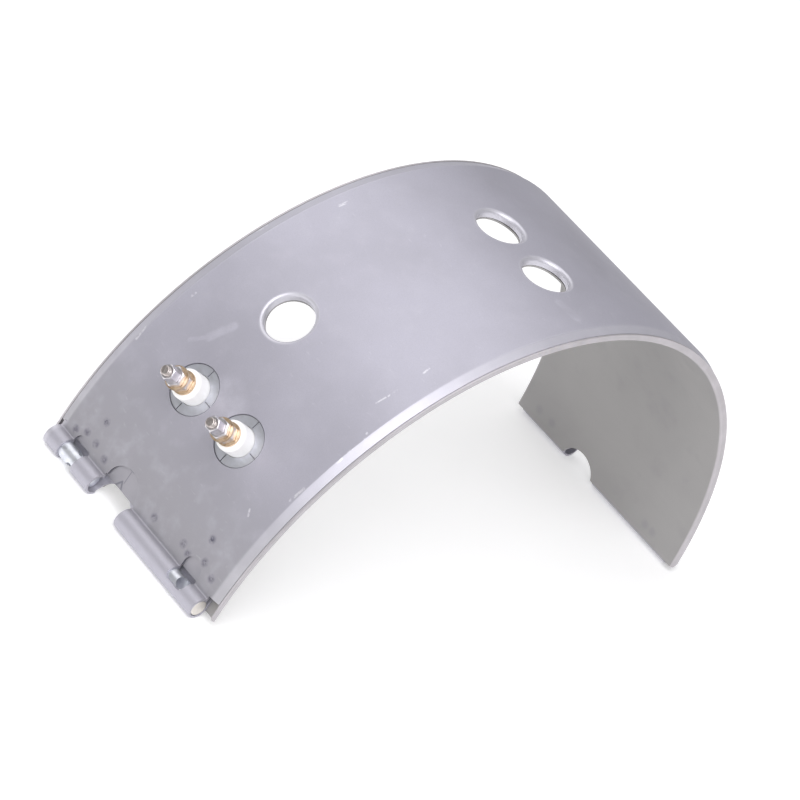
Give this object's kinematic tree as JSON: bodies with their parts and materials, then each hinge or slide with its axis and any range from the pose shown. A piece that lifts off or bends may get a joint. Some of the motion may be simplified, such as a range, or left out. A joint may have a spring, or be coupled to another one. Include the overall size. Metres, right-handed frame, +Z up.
{
  "type": "half band heater",
  "caption": "Half of a two-piece mica band heater for a barrel, with curled ends for clamp pins, flanged holes and ceramic screw terminals.",
  "frame": {"origin": "on the barrel's axis, at the middle of the band's width", "axes": "+Y along the barrel's axis, +Z up through the crown of the half band, +X towards the end without terminals"},
  "size_m": [0.303, 0.11, 0.1395],
  "materials": {
    "sheath": "plain rolled sheet, faintly pinkish",
    "mica": "pressed mica sheet",
    "ribbon": "nickel-chromium ribbon",
    "lead": "nickel strip",
    "inner_plate": "plain steel sheet",
    "strap": "matt coated steel sheet",
    "pin": "turned and zinc plated",
    "collar": "stamped sheet",
    "bush": "white electrical porcelain",
    "brass": "plain brass",
    "spring": "zinc plated spring steel",
    "plated": "zinc plated"
  },
  "bodies": {
    "band": {"inner_sheath": "sheath", "inner_mica": "mica", "winding_card": "mica", "outer_mica": "mica", "heating_ribbon": "ribbon", "lead_strip_1": "lead", "lead_strip_2": "lead", "pressure_sheet": "inner_plate", "left_stiffener": "inner_plate", "right_stiffener": "inner_plate", "outer_strap": "strap", "slotted_collar_1": "collar", "slotted_collar_2": "collar", "ceramic_bush_1": "bush", "ceramic_bush_2": "bush", "lower_washer_1": "brass", "clamp_nut_1": "brass", "upper_washer_1": "brass", "thin_nut_1": "brass", "lower_washer_2": "brass", "clamp_nut_2": "brass", "upper_washer_2": "brass", "thin_nut_2": "brass", "spring_washer_1": "spring", "spring_washer_2": "spring", "top_nut_1": "plated", "top_nut_2": "plated", "terminal_stud_1": "plated", "terminal_stud_2": "plated"},
    "left_far_pin": {"left_far_pin": "pin"},
    "left_near_pin": {"left_near_pin": "pin"},
    "right_far_pin": {"right_far_pin": "pin"},
    "right_near_pin": {"right_near_pin": "pin"}
  },
  "joints": [
    {"name": "left_far_pin_turn", "type": "hinge", "parent": "band", "child": "left_far_pin", "pos_m": [-0.14529, 0.035, 0.00972], "axis": [0, 1, 0], "continuous": true},
    {"name": "left_near_pin_turn", "type": "hinge", "parent": "band", "child": "left_near_pin", "pos_m": [-0.14529, -0.038, 0.00972], "axis": [0, 1, 0], "continuous": true},
    {"name": "right_far_pin_turn", "type": "hinge", "parent": "band", "child": "right_far_pin", "pos_m": [0.14529, 0.038, 0.00972], "axis": [0, 1, 0], "continuous": true},
    {"name": "right_near_pin_turn", "type": "hinge", "parent": "band", "child": "right_near_pin", "pos_m": [0.14529, -0.0355, 0.00972], "axis": [0, 1, 0], "continuous": true}
  ]
}
